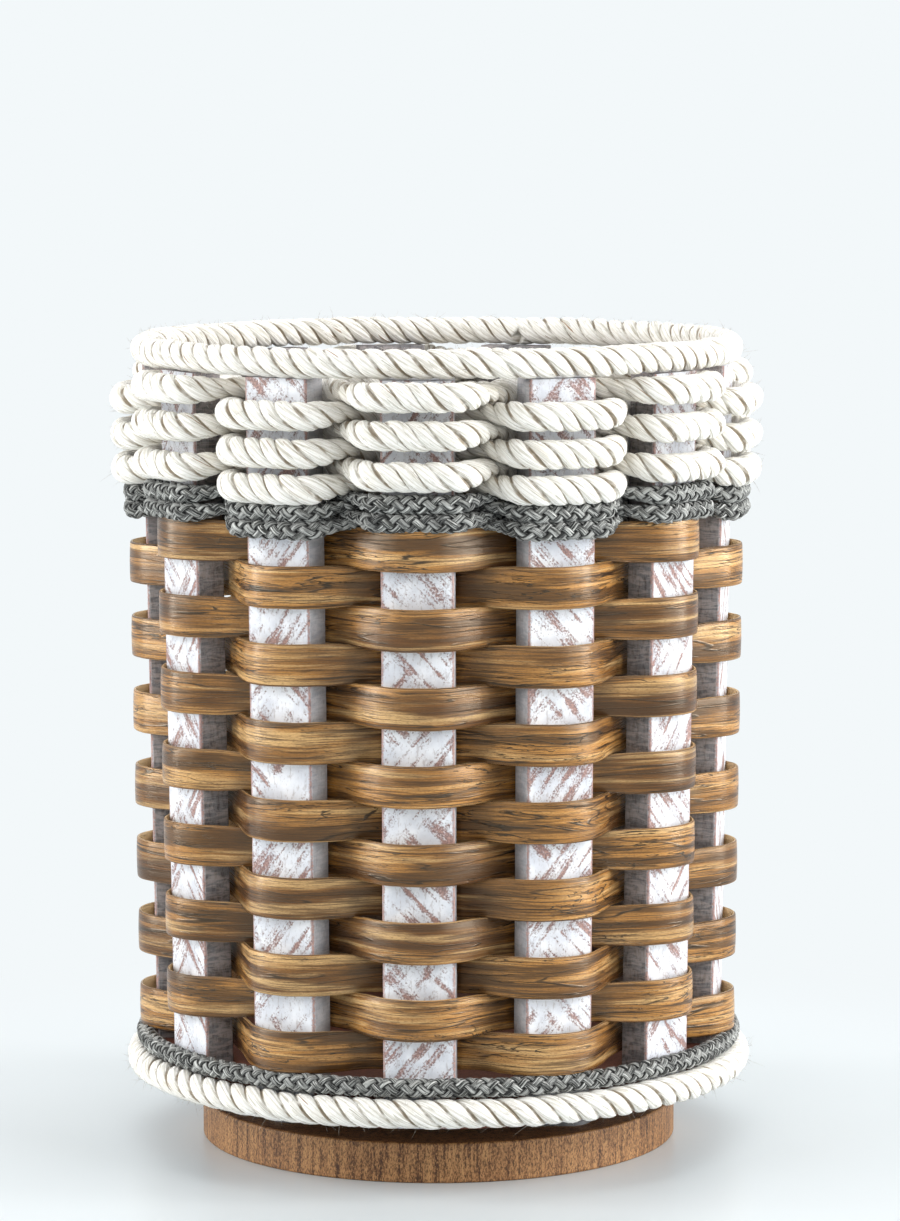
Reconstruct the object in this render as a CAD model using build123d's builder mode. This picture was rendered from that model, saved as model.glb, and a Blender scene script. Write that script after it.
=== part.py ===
"""A woven utensil basket that turns on a wooden lazy Susan.

Thirteen leaning slats stand in notches round a floor board.  Flat reed, a braided cord and a thick
rope are woven in and out of the slats, and a ball-bearing swivel carries the board on a wooden disc.
The origin is the middle of the disc's underside, +Z is up and the first slat faces -Y.
"""
import math
import os

from build123d import *

# Turntable disc, in millimetres
disc_diameter = 152.4
disc_thickness = 12.7
disc_edge_radius = 0.8
access_hole_diameter = 12.0

# Swivel between the disc and the floor board
swivel_height = 7.9
plate_side_share = 2 / 3
plate_corner_radius = 8.0
plate_thickness = 1.2
ball_diameter = 3.175
ball_circle_diameter = 68.0
ball_count = 12
race_gap = 2.0
race_wall = 2.2
race_clearance = 0.15
collar_end_gap = 0.8
cage_wall = 0.8
cage_end_gap = 0.4

# Screws that hold the swivel plates
screw_edge_distance = 7.8
screw_shank_diameter = 3.2
screw_head_diameter = 6.4
screw_head_height = 1.7
screw_reach = 9.0
screw_slot_width = 0.9
screw_slot_length = 3.6
screw_slot_depth = 0.8
plate_hole_clearance = 0.2
wood_hole_clearance = 0.02

# Floor board and the slats that stand round it
board_thickness = 12.7
stake_count = 13
stake_width = 22.0
stake_thickness = 9.5
stake_foot_radius = 90.5
stake_lean = 0.76
stake_edge = 0.4
notch_clearance = 0.1
front_angle = -90.0
lap_stake = 6

# Brads that nail each slat to the board
brad_width = 1.25
brad_thickness = 1.0
brad_length = 19.0
brad_spacing = 5.0
brad_clearance = 0.05

# Flat reed rows
reed_rows = 14
reed_pitch = 11.92
reed_thickness = 1.2
reed_row_gap = 0.12
reed_bow_depth = 12.5
reed_bow_facets = 4

# Thick rope: one length woven round and round, one length at the foot and one at the rim
rope_diameter = 9.0
rope_turns = 6
rope_float_pitch = 5.4
rope_crossing_pitch = 5.2
rope_bend_inset = 3.0
rope_bend_depth = 3.0
rope_crossing_width = 9.6
rope_crossing_reach = 6.0

# Braided cord: one length woven round and round and one at the foot
cord_diameter = 6.0
cord_turns = 4
cord_float_pitch = 3.35
cord_crossing_pitch = 3.3
cord_bend_inset = 1.5
cord_bend_depth = 1.5
cord_crossing_width = 6.6
cord_crossing_reach = 5.4

strand_sides = 6
hoop_sides = 12
gap_steps = 4
strand_clearance = 0.2
strand_squeeze_gap = 0.45
foot_rope_lift = 1.2
strand_seat_gap = 0.15
butt_gap = 0.6
rim_inset = 0.6
rim_seat_gap = 0.45

# Swivel plates, sized to sit inside the disc, and the places of their corner screws
plate_side = disc_diameter * plate_side_share
screw_spacing = plate_side - 2 * screw_edge_distance

# Heights worked out from the sizes above, going up from the table
disc_top = disc_thickness
board_bottom = disc_top + swivel_height
board_top = board_bottom + board_thickness
foot_rope_height = board_bottom + foot_rope_lift + rope_diameter / 2
foot_cord_height = foot_rope_height + (rope_diameter + cord_diameter) / 2 + strand_seat_gap
reed_foot = foot_cord_height + cord_diameter / 2 + strand_seat_gap
reed_top = reed_foot + reed_rows * reed_pitch
cord_float_foot = reed_top + strand_seat_gap + cord_diameter / 2 - cord_float_pitch
cord_crossing_foot = reed_top + strand_squeeze_gap
rope_float_foot = (cord_float_foot + (cord_turns - 2) * cord_float_pitch
                   + (cord_diameter + rope_diameter) / 2 + strand_seat_gap)
rope_crossing_foot = cord_crossing_foot + cord_turns * cord_crossing_pitch
rope_stack_top = rope_crossing_foot + rope_turns * rope_crossing_pitch
stake_top = rope_stack_top
rim_rope_height = stake_top + rim_seat_gap + rope_diameter / 2

os.makedirs("parts", exist_ok=True)


def stake_bearing(index):
    """Angle of a slat round the axis, in radians; slat 0 is the front one."""
    return math.radians(front_angle + index * 360 / stake_count)


def face_radius(height):
    """Distance from the axis to the slats' outer faces at a height."""
    return stake_foot_radius + (height - board_bottom) * math.tan(math.radians(stake_lean))


def stake_plane(index):
    """Plane across the foot of a slat: X along its width, Y outwards, Z up its length."""
    bearing = stake_bearing(index)
    outwards = Vector(math.cos(bearing), math.sin(bearing), 0)
    lean = math.radians(stake_lean)
    along = outwards * math.sin(lean) + Vector(0, 0, math.cos(lean))
    across = Vector(math.sin(bearing), -math.cos(bearing), 0)
    foot = outwards * stake_foot_radius + Vector(0, 0, board_bottom)
    return Plane(origin=foot, x_dir=across, z_dir=along)


def stake_axis(index):
    """Line up the middle of a slat's outer face."""
    plane = stake_plane(index)
    return Axis(plane.origin, plane.z_dir)


def brad_plane(index, height):
    """Plane on a slat's outer face, at a height above its foot, facing outwards."""
    plane = stake_plane(index)
    return Plane(origin=plane.origin + plane.z_dir * height, x_dir=plane.x_dir, z_dir=plane.y_dir)


def bend_circles(heights, first_pass, first_side, inset, depth, radius):
    """Circles that a strand bends round, in order: x, y, radius and turn, +1 outside a slat.

    A stiff strand bows over each slat on one circle (inset is half the slat's width), and a soft
    one bends at both corners.  Passes are counted from the lap slat.
    """
    spread = stake_width / 2 - inset
    circles = []
    for number, height in enumerate(heights):
        turn = first_side if number % 2 == 0 else -first_side
        bearing = stake_bearing(lap_stake + first_pass + number)
        middle = face_radius(height) - depth
        if turn < 0:
            middle = face_radius(height) - stake_thickness + depth
        for shift in sorted({-spread, spread}):
            x = middle * math.cos(bearing) - shift * math.sin(bearing)
            y = middle * math.sin(bearing) + shift * math.cos(bearing)
            circles.append((x, y, radius, turn))
    return circles


def run_headings(circles):
    """Heading of the straight run from each circle to the next, tangent to both."""
    headings = []
    for (ax, ay, a_radius, a_turn), (bx, by, b_radius, b_turn) in zip(circles, circles[1:]):
        swing = math.asin((b_turn * b_radius - a_turn * a_radius) / math.hypot(bx - ax, by - ay))
        headings.append(math.atan2(by - ay, bx - ax) - swing)
    return headings


def bend_point(circle, heading, offset=0):
    """Point of a bend where the strand has a heading, moved to the strand's left by an offset."""
    x, y, radius, turn = circle
    reach = turn * radius - offset
    return x + reach * math.sin(heading), y - reach * math.cos(heading)


def between(start, end, share):
    """Heading part of the way from one heading to another, by the short way round."""
    swing = (end - start + math.pi) % (2 * math.pi) - math.pi
    return start + swing * share


def reed_edge(circles, headings, offset):
    """Points along one side of a reed that bows over the slats."""
    points = []
    for number, circle in enumerate(circles):
        level = stake_bearing(lap_stake + number) + math.pi / 2
        leaving = headings[number] if number < len(headings) else None
        arriving = headings[number - 1] if number > 0 else between(leaving, level, 2)
        if leaving is None:
            leaving = between(arriving, level, 2)
        for step in range(reed_bow_facets + 1):
            points.append(bend_point(circle, between(arriving, leaving, step / reed_bow_facets), offset))
    return points


def reed_row(row):
    """One reed woven round the slats, its ends lapped inside and outside one slat at the back."""
    bottom = reed_foot + row * reed_pitch
    first_side = 1 if row % 2 == 0 else -1
    heights = [bottom + reed_pitch / 2] * (stake_count + 1)
    bow_radius = math.hypot(stake_width / 2, reed_bow_depth) + strand_clearance + reed_thickness / 2
    circles = bend_circles(heights, 0, first_side, stake_width / 2, reed_bow_depth, bow_radius)
    headings = run_headings(circles)
    left = reed_edge(circles, headings, reed_thickness / 2)
    right = reed_edge(circles, headings, -reed_thickness / 2)
    with BuildPart() as reed:
        with BuildSketch(Plane.XY.offset(bottom)):
            with BuildLine():
                Polyline(*left, *reversed(right), close=True)
            make_face()
        extrude(amount=reed_pitch - reed_row_gap)
    return reed


def strand_corners(width, height, sides):
    """Corners of a strand's many-sided section, flat above and below."""
    corners = []
    for side in range(sides):
        angle = math.pi / 2 + math.pi * (2 * side + 1) / sides
        flat_share = 1 / math.cos(math.pi / sides)
        corners.append((width / 2 * math.cos(angle), height / 2 * flat_share * math.sin(angle)))
    return corners


def woven_stations(turns, diameter, float_foot, float_pitch, crossing_foot, crossing_pitch,
                   inset, depth, crossing_width, crossing_reach):
    """Sections along a soft strand woven round the slats: place, heading, width and height.

    The strand is round over the slats and is squeezed flat where it crosses the turns above and
    below.  It climbs to its next turn at the lap slat, and both its ends are tucked inside.
    """
    passes = range(1, turns * stake_count)
    heights = [float_foot + float_pitch * (number // stake_count) for number in passes]
    crossings = [crossing_foot + crossing_pitch * (number // stake_count + 1 / 2) for number in passes]
    radius = math.hypot(inset, depth) + strand_clearance + diameter / 2
    circles = bend_circles(heights, passes.start, -1, inset, depth, radius)
    headings = run_headings(circles)
    stations = []
    for number, circle in enumerate(circles):
        leaving = headings[min(number, len(headings) - 1)]
        arriving = headings[max(number - 1, 0)]
        heading = between(arriving, leaving, 1 / 2)
        x, y = bend_point(circle, heading)
        stations.append(((x, y, heights[number // 2]), heading, diameter, diameter))
        if number % 2 == 1 and number < len(headings):
            start_x, start_y = bend_point(circle, leaving)
            end_x, end_y = bend_point(circles[number + 1], leaving)
            for reach in (-crossing_reach, crossing_reach):
                x = (start_x + end_x) / 2 + reach * math.cos(leaving)
                y = (start_y + end_y) / 2 + reach * math.sin(leaving)
                place = (x, y, crossings[number // 2])
                stations.append((place, leaving, crossing_width, crossing_pitch - strand_squeeze_gap))
    return stations


def least_gap(stations):
    """Least upright gap between a strand's own turns, measured on points along it."""
    points = []
    for start, end in zip(stations, stations[1:]):
        for step in range(gap_steps):
            share = step / gap_steps
            place = [a + (b - a) * share for a, b in zip(start[0], end[0])]
            width, height = [a + (b - a) * share for a, b in zip(start[2:], end[2:])]
            points.append((place, width, height))
    gaps = []
    for index, (place, width, height) in enumerate(points):
        for other, other_width, other_height in points[index + 2 * gap_steps:]:
            apart = math.hypot(place[0] - other[0], place[1] - other[1])
            if apart < min(width, other_width) / 2:
                gaps.append(abs(place[2] - other[2]) - (height + other_height) / 2)
    return min(gaps)


def section_ring(station):
    """Corners of a station's section, where they stand."""
    place, heading, width, height = station
    left = Vector(-math.sin(heading), math.cos(heading), 0)
    return [Vector(*place) + left * x + Vector(0, 0, y) for x, y in strand_corners(width, height, strand_sides)]


def woven_strand(stations):
    """A soft strand closed by flat panels from section to section, as one unbroken solid."""
    rings = [section_ring(station) for station in stations]
    panels = [rings[0], rings[-1]]
    for ring, following in zip(rings, rings[1:]):
        for side in range(strand_sides):
            corners = ring[side - 1], ring[side], following[side], following[side - 1]
            panels.append((corners[0], corners[1], corners[2]))
            panels.append((corners[0], corners[2], corners[3]))
    faces = [Face(Wire.make_polygon(panel)) for panel in panels]
    with BuildPart() as strand:
        add(Solid(Shell(faces)))
    return strand


def hoop_strand(height, radius, diameter):
    """A strand laid once round the basket, its cut ends butted at the lap slat."""
    bearing = stake_bearing(lap_stake)
    outwards = (math.cos(bearing), math.sin(bearing), 0)
    across = (math.sin(bearing), -math.cos(bearing), 0)
    with BuildPart() as strand:
        with BuildSketch(Plane(origin=(0, 0, height), x_dir=outwards, z_dir=across)):
            with Locations((radius, 0)):
                Polygon(*strand_corners(diameter, diameter, hoop_sides), align=None)
        revolve(axis=Axis.Z, revolution_arc=360 - math.degrees(butt_gap / radius))
    return strand


def export(piece, name):
    """Label a piece and write it as a node of its own."""
    piece.part.label = name
    export_step(piece.part, f"parts/{name}.step")


# Turntable disc, with a hole for driving the upper screws from below
screw_circle_radius = screw_spacing / 2 * math.sqrt(2)
with BuildPart() as turntable_base:
    Cylinder(disc_diameter / 2, disc_thickness, align=(Align.CENTER, Align.CENTER, Align.MIN))
    fillet(turntable_base.edges().filter_by(GeomType.CIRCLE), radius=disc_edge_radius)
    with Locations((0, screw_circle_radius, disc_top)):
        Hole(access_hole_diameter / 2)
    with BuildSketch(Plane.XY.offset(disc_top)):
        with GridLocations(screw_spacing, screw_spacing, 2, 2):
            Circle(screw_shank_diameter / 2 + wood_hole_clearance)
    extrude(amount=-screw_reach, mode=Mode.SUBTRACT)
export(turntable_base, "turntable_base")


# Swivel: two pressed plates, each with a race collar, and a ring of balls in a cage between them
ball_height = disc_top + swivel_height / 2
ball_circle_radius = ball_circle_diameter / 2
collar_height = swivel_height - plate_thickness - collar_end_gap


def swivel_plate(seat, collar_middle, up):
    """A square plate with screw holes whose collar guides the balls; up is +1 for the lower plate."""
    inner_wall = collar_middle - race_wall / 2
    with BuildPart() as plate:
        with BuildSketch(Plane.XY.offset(seat)):
            RectangleRounded(plate_side, plate_side, plate_corner_radius)
            with GridLocations(screw_spacing, screw_spacing, 2, 2):
                Circle(screw_shank_diameter / 2 + plate_hole_clearance, mode=Mode.SUBTRACT)
            Circle(inner_wall, mode=Mode.SUBTRACT)
        extrude(amount=up * plate_thickness)
        with BuildSketch(Plane.XY.offset(seat)):
            Circle(collar_middle + race_wall / 2)
            Circle(inner_wall, mode=Mode.SUBTRACT)
        extrude(amount=up * collar_height)
        with BuildSketch(Plane.XZ):
            with Locations((ball_circle_radius, ball_height)):
                Circle(ball_diameter / 2 + race_clearance)
        revolve(axis=Axis.Z, mode=Mode.SUBTRACT)
    return plate


collar_offset = (race_gap + race_wall) / 2
export(swivel_plate(disc_top, ball_circle_radius - collar_offset, 1), "bearing_lower_plate")
export(swivel_plate(board_bottom, ball_circle_radius + collar_offset, -1), "bearing_upper_plate")

with BuildPart() as bearing_balls:
    with Locations((0, 0, ball_height)):
        with PolarLocations(ball_circle_radius, ball_count):
            Sphere(ball_diameter / 2)
export(bearing_balls, "bearing_balls")

cage_bottom = disc_top + plate_thickness + cage_end_gap
cage_height = swivel_height - 2 * (plate_thickness + cage_end_gap)
pocket_width = ball_diameter + 2 * race_clearance
with BuildPart() as ball_cage:
    with BuildSketch(Plane.XY.offset(cage_bottom)):
        Circle(ball_circle_radius + cage_wall / 2)
        Circle(ball_circle_radius - cage_wall / 2, mode=Mode.SUBTRACT)
    extrude(amount=cage_height)
    with BuildSketch(Plane.XY.offset(cage_bottom)):
        with PolarLocations(ball_circle_radius, ball_count):
            Rectangle(race_gap, pocket_width)
    extrude(amount=ball_height + pocket_width / 2 - cage_bottom, mode=Mode.SUBTRACT)
export(ball_cage, "ball_cage")


def plate_screws(seat, up):
    """Four pan-head screws through a plate; up is +1 where they are driven downwards."""
    with BuildPart() as screws:
        with BuildSketch(Plane.XY.offset(seat)):
            with GridLocations(screw_spacing, screw_spacing, 2, 2):
                Circle(screw_head_diameter / 2)
        extrude(amount=up * screw_head_height)
        with BuildSketch(Plane.XY.offset(seat)):
            with GridLocations(screw_spacing, screw_spacing, 2, 2):
                Circle(screw_shank_diameter / 2)
        extrude(amount=-up * screw_reach)
        with BuildSketch(Plane.XY.offset(seat + up * screw_head_height)):
            with GridLocations(screw_spacing, screw_spacing, 2, 2):
                Rectangle(screw_slot_length, screw_slot_width)
                Rectangle(screw_slot_width, screw_slot_length)
        extrude(amount=-up * screw_slot_depth, mode=Mode.SUBTRACT)
    return screws


export(plate_screws(disc_top + plate_thickness, 1), "base_screws")
export(plate_screws(board_bottom - plate_thickness, -1), "basket_screws")


# Floor board with a notch for the foot of every slat
brad_heights = [board_thickness / 2 - brad_spacing / 2, board_thickness / 2 + brad_spacing / 2]
with BuildPart() as base_board:
    with BuildSketch(Plane.XY.offset(board_bottom)):
        Circle(math.hypot(stake_foot_radius, stake_width / 2))
    extrude(amount=board_thickness)
    for index in range(stake_count):
        with BuildSketch(stake_plane(index).offset(-board_thickness)):
            Rectangle(stake_width + 2 * notch_clearance, 2 * (stake_thickness + notch_clearance))
        extrude(amount=3 * board_thickness, mode=Mode.SUBTRACT)
        for height in brad_heights:
            with BuildSketch(brad_plane(index, height)):
                Rectangle(brad_width + 2 * brad_clearance, brad_thickness + 2 * brad_clearance)
            extrude(amount=-brad_length, mode=Mode.SUBTRACT)
    with BuildSketch(Plane.XY.offset(board_bottom)):
        with GridLocations(screw_spacing, screw_spacing, 2, 2):
            Circle(screw_shank_diameter / 2 + wood_hole_clearance)
    extrude(amount=screw_reach, mode=Mode.SUBTRACT)
export(base_board, "base_board")


# Slats and the brads that nail them to the board
stake_length = (stake_top - board_bottom) / math.cos(math.radians(stake_lean))
for index in range(stake_count):
    with BuildPart() as stake:
        with BuildSketch(stake_plane(index)):
            Rectangle(stake_width, stake_thickness, align=(Align.CENTER, Align.MAX))
        extrude(amount=stake_length)
        chamfer(stake.edges().filter_by(stake_axis(index)), length=stake_edge)
        for height in brad_heights:
            with BuildSketch(brad_plane(index, height)):
                Rectangle(brad_width + 2 * brad_clearance, brad_thickness + 2 * brad_clearance)
            extrude(amount=-brad_length, mode=Mode.SUBTRACT)
    export(stake, f"stake_{index + 1:02d}")

with BuildPart() as stake_brads:
    for index in range(stake_count):
        for height in brad_heights:
            with BuildSketch(brad_plane(index, height)):
                Rectangle(brad_width, brad_thickness)
            extrude(amount=-brad_length)
export(stake_brads, "stake_brads")


# Woven wall
for row in range(reed_rows):
    export(reed_row(row), f"reed_row_{row + 1:02d}")

cord_stations = woven_stations(
    cord_turns, cord_diameter, cord_float_foot, cord_float_pitch, cord_crossing_foot, cord_crossing_pitch,
    cord_bend_inset, cord_bend_depth, cord_crossing_width, cord_crossing_reach)
print(f"least gap between the cord's own turns: {least_gap(cord_stations):.2f} mm")
export(woven_strand(cord_stations), "cord_weave")

rope_stations = woven_stations(
    rope_turns, rope_diameter, rope_float_foot, rope_float_pitch, rope_crossing_foot, rope_crossing_pitch,
    rope_bend_inset, rope_bend_depth, rope_crossing_width, rope_crossing_reach)
print(f"least gap between the rope's own turns: {least_gap(rope_stations):.2f} mm")
export(woven_strand(rope_stations), "rope_weave")


# Straight lengths laid round the foot and the rim
foot_corner_radius = math.hypot(face_radius(board_top), stake_width / 2)
foot_rope_radius = foot_corner_radius + strand_seat_gap + rope_diameter / 2
foot_cord_radius = foot_corner_radius + strand_seat_gap + cord_diameter / 2
rim_rope_radius = face_radius(stake_top) - rim_inset
export(hoop_strand(foot_rope_height, foot_rope_radius, rope_diameter), "foot_rope")
export(hoop_strand(foot_cord_height, foot_cord_radius, cord_diameter), "foot_cord")
export(hoop_strand(rim_rope_height, rim_rope_radius, rope_diameter), "rim_rope")
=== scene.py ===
"""Looks of the woven utensil lazy susan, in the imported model's frame (metres, +Z up, front -Y)."""
import math

import bpy
import numpy as np
from mathutils import Matrix, Vector


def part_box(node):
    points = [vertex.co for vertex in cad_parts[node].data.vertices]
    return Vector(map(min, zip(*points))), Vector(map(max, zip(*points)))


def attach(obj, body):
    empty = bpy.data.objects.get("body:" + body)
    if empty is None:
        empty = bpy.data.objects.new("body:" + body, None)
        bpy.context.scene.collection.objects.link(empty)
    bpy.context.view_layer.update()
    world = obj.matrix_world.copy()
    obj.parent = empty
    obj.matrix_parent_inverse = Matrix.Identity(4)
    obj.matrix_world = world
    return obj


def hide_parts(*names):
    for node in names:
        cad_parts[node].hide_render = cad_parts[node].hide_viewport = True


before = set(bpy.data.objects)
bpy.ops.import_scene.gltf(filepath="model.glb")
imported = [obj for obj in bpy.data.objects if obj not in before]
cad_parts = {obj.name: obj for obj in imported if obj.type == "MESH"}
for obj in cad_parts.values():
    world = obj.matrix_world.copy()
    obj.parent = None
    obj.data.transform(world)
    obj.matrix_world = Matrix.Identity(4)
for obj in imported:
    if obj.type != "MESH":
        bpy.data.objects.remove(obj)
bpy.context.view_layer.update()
mm = 0.001
rng = np.random.RandomState(7)

# Sizes of the weave, as in the part's source
stake_count = 13
stake_width = 22.0 * mm
stake_thickness = 9.5 * mm
stake_foot_radius = 90.5 * mm
stake_lean = math.radians(0.76)
front_angle = math.radians(-90)
lap_stake = 6
strand_clearance = 0.2 * mm
reed_rows = 14
reed_bow_depth = 12.5 * mm
reed_thickness = 1.2 * mm
rope_diameter = 9.0 * mm
rope_bend = 3.0 * mm
cord_diameter = 6.0 * mm
cord_bend = 1.5 * mm

# Rise of each turn's middle above the top reed, read from the photo.
# A float lies over a slat, and a crossing is where strands pass each other between two slats.
rope_float_rises = [12.0 * mm, 16.6 * mm, 22.8 * mm, 28.9 * mm, 34.2 * mm, 40.4 * mm]
rope_crossing_foot, rope_crossing_pitch = 11.5 * mm, 5.4 * mm
cord_float_rises = [-0.4 * mm, 2.6 * mm, 4.9 * mm, 8.3 * mm]
cord_crossing_foot, cord_crossing_pitch = 0.3 * mm, 2.75 * mm

# How the strands are made: a lay is the length of one turn, and a step the spacing of mesh rings
woven_rope_lay = 1.85 * rope_diameter
laid_rope_lay = 2.1 * rope_diameter
cord_lay = 3.1 * cord_diameter
woven_rope_step, laid_rope_step = 0.9 * mm, 0.8 * mm
woven_cord_step, laid_cord_step = 0.65 * mm, 0.6 * mm
reed_step = 0.8 * mm
rope_flattening = 0.45
cord_flattening = 0.5
fibre_radius = 0.06 * mm
woven_fibres, laid_fibres = 11000, 3000
butt_gap = 0.6 * mm

# Heights read from the frame
board_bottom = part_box("base_board")[0][2]
stake_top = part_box("stake_01")[1][2]
reed_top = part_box("reed_row_14")[1][2]


# Routes of the woven strands, by the same construction as the part's source
def stake_bearing(index):
    """Angle of a slat round the axis; slat 0 is the front one."""
    return front_angle + index * 2 * math.pi / stake_count


def face_radius(height):
    """Distance from the axis to the slats' outer faces at a height."""
    return stake_foot_radius + (height - board_bottom) * math.tan(stake_lean)


def bend_circles(heights, first_pass, first_side, inset, depth, radius):
    """Circles that a strand bends round: x, y, radius and turn, +1 outside a slat."""
    spread = stake_width / 2 - inset
    circles = []
    for number, height in enumerate(heights):
        turn = first_side if number % 2 == 0 else -first_side
        bearing = stake_bearing(lap_stake + first_pass + number)
        middle = face_radius(height) - depth
        if turn < 0:
            middle = face_radius(height) - stake_thickness + depth
        for shift in sorted({-spread, spread}):
            x = middle * math.cos(bearing) - shift * math.sin(bearing)
            y = middle * math.sin(bearing) + shift * math.cos(bearing)
            circles.append((x, y, radius, turn))
    return circles


def run_headings(circles):
    """Heading of the straight run from each circle to the next, tangent to both."""
    headings = []
    for (ax, ay, a_radius, a_turn), (bx, by, b_radius, b_turn) in zip(circles, circles[1:]):
        swing = math.asin((b_turn * b_radius - a_turn * a_radius) / math.hypot(bx - ax, by - ay))
        headings.append(math.atan2(by - ay, bx - ax) - swing)
    return headings


def bend_point(circle, heading):
    """Point of a bend where the strand has a heading."""
    x, y, radius, turn = circle
    return np.array((x + turn * radius * math.sin(heading), y - turn * radius * math.cos(heading)))


def between(start, end, share):
    """Heading part of the way from one heading to another, by the short way round."""
    swing = (end - start + math.pi) % (2 * math.pi) - math.pi
    return start + swing * share


def smooth(values, reach):
    """Values averaged along a strand with a bell-shaped weight, reach in samples."""
    width = int(3 * reach)
    weights = np.exp(-0.5 * (np.arange(-width, width + 1) / reach) ** 2)
    weights /= weights.sum()
    start = np.repeat(values[:1], width, 0)
    end = np.repeat(values[-1:], width, 0)
    padded = np.concatenate([start, values, end])
    if values.ndim == 1:
        return np.convolve(padded, weights, "valid")
    columns = [np.convolve(column, weights, "valid") for column in padded.T]
    return np.stack(columns, 1)


def trace(circles, ends_bowed, step):
    """Even points along a woven route: plan places, crossing share (1 where strands cross) and station.

    The station counts circles, so that heights can be read off it.
    """
    headings = run_headings(circles)
    bend_steps = 10
    run_steps = 24
    places, crossings, stations = [], [], []
    for number, circle in enumerate(circles):
        last = number == len(circles) - 1
        leaving = headings[-1] if last else headings[number]
        arriving = headings[max(number - 1, 0)]
        level = math.atan2(circle[1], circle[0]) + math.pi / 2
        if ends_bowed and number == 0:
            arriving = between(leaving, level, 2)
        if ends_bowed and last:
            leaving = between(arriving, level, 2)
        for share in np.linspace(0, 1, bend_steps):
            places.append(bend_point(circle, between(arriving, leaving, share)))
            crossings.append(0.0)
            stations.append(number)
        if last:
            break
        start, end = places[-1], bend_point(circles[number + 1], leaving)
        crosses = circle[3] != circles[number + 1][3]
        for share in np.linspace(0, 1, run_steps + 2)[1:-1]:
            places.append(start + (end - start) * share)
            crossings.append(math.sin(math.pi * share) if crosses else 0.0)
            stations.append(number + share)
    places = np.array(places)
    lengths = np.concatenate([[0], np.cumsum(np.linalg.norm(np.diff(places, axis=0), axis=1))])
    even = np.linspace(0, lengths[-1], max(int(lengths[-1] / step), 2))
    plan = np.stack([np.interp(even, lengths, places[:, i]) for i in range(2)], 1)
    return plan, np.interp(even, lengths, crossings), np.interp(even, lengths, stations)


def woven_centre(diameter, float_rises, crossing_foot, crossing_pitch, bend, step):
    """Middle line of a soft woven strand and how far it is squeezed at each point."""
    turns = [number // stake_count for number in range(1, len(float_rises) * stake_count)]
    heights = [reed_top + float_rises[turn] for turn in turns]
    crossings = [reed_top + crossing_foot + crossing_pitch * (turn + 0.5) for turn in turns]
    radius = math.hypot(bend, bend) + strand_clearance + diameter / 2
    plan, squeeze, station = trace(bend_circles(heights, 1, -1, bend, bend, radius), False, step)
    knots, levels = [], []
    for number in range(len(heights)):
        knots += [2 * number, 2 * number + 1, 2 * number + 1.5]
        levels += [heights[number], heights[number], crossings[number]]
    bend_reach = diameter / 4 / step
    rise_reach = diameter / 2 / step
    height = smooth(np.interp(station, knots, levels), rise_reach)
    centre = np.concatenate([smooth(plan, bend_reach), height[:, None]], 1)
    return centre, smooth(squeeze, bend_reach)


def hoop_centre(node, diameter, step):
    """Middle line of a strand laid once round and butted at the lap slat, read from its CAD node's box."""
    low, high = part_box(node)
    radius = (high[0] - low[0]) / 2 - diameter / 2
    height = (low[2] + high[2]) / 2
    start = stake_bearing(lap_stake)
    turn = 2 * math.pi - butt_gap / radius
    angles = np.linspace(start, start + turn, int(turn * radius / step))
    slow_sway = 0.12 * mm * np.sin(7 * angles)
    quick_sway = 0.08 * mm * np.sin(17 * angles + 1)
    sway = slow_sway + quick_sway
    return np.stack([radius * np.cos(angles), radius * np.sin(angles), height + sway], 1)


# Mesh helpers
def grid_mesh(name, grids, alongs, material, body, replaced=None, tucked=None):
    """One object from closed rings of points: each grid is (rings, points, 3), with its length as U.

    Tucked says, for each ring, how far the strand has gone in among its neighbours.
    """
    verts, quads, caps, corner_uvs = [], [], [], []
    base = 0
    for grid, along in zip(grids, alongs):
        rings, points = grid.shape[:2]
        index = base + np.arange(rings * points).reshape(rings, points)
        beside = np.roll(index, -1, axis=1)
        quads.append(np.stack([index[:-1], beside[:-1], beside[1:], index[1:]], -1).reshape(-1, 4))
        caps += [index[0, ::-1].tolist(), index[-1].tolist()]
        v_low = np.broadcast_to(np.arange(points) / points, (rings - 1, points))
        v_high = v_low + 1 / points
        u_low = np.broadcast_to(along[:-1, None], v_low.shape)
        u_high = np.broadcast_to(along[1:, None], v_low.shape)
        corners = ((u_low, v_low), (u_low, v_high), (u_high, v_high), (u_high, v_low))
        corner_uvs.append(np.stack([np.stack(corner, -1) for corner in corners], -2).reshape(-1))
        verts.append(grid.reshape(-1, 3))
        base += rings * points
    mesh = bpy.data.meshes.new(name)
    mesh.from_pydata(np.concatenate(verts).tolist(), [], np.concatenate(quads).tolist() + caps)
    side_uvs = np.concatenate(corner_uvs)
    uvs = np.zeros(len(mesh.loops) * 2)
    uvs[:len(side_uvs)] = side_uvs
    mesh.uv_layers.new(name="along").data.foreach_set("uv", uvs)
    mesh.polygons.foreach_set("use_smooth", [True] * len(mesh.polygons))
    if tucked is not None:
        shares = np.concatenate([np.repeat(tucked, grid.shape[1]) for grid in grids])
        mesh.attributes.new("tucked", "FLOAT", "POINT").data.foreach_set("value", shares)
    return add_piece(name, mesh, material, body, replaced)


def add_piece(name, mesh, material, body, replaced=None):
    """Put a mesh in the scene as a piece that rides on a body and may stand for CAD nodes."""
    mesh.materials.append(material)
    piece = bpy.data.objects.new(name, mesh)
    bpy.context.collection.objects.link(piece)
    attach(piece, body)
    if replaced:
        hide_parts(*replaced)
    return piece


def paint_node(name, material):
    """Give a CAD node that stays in view its finish."""
    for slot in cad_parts[name].material_slots:
        slot.material = material


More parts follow.
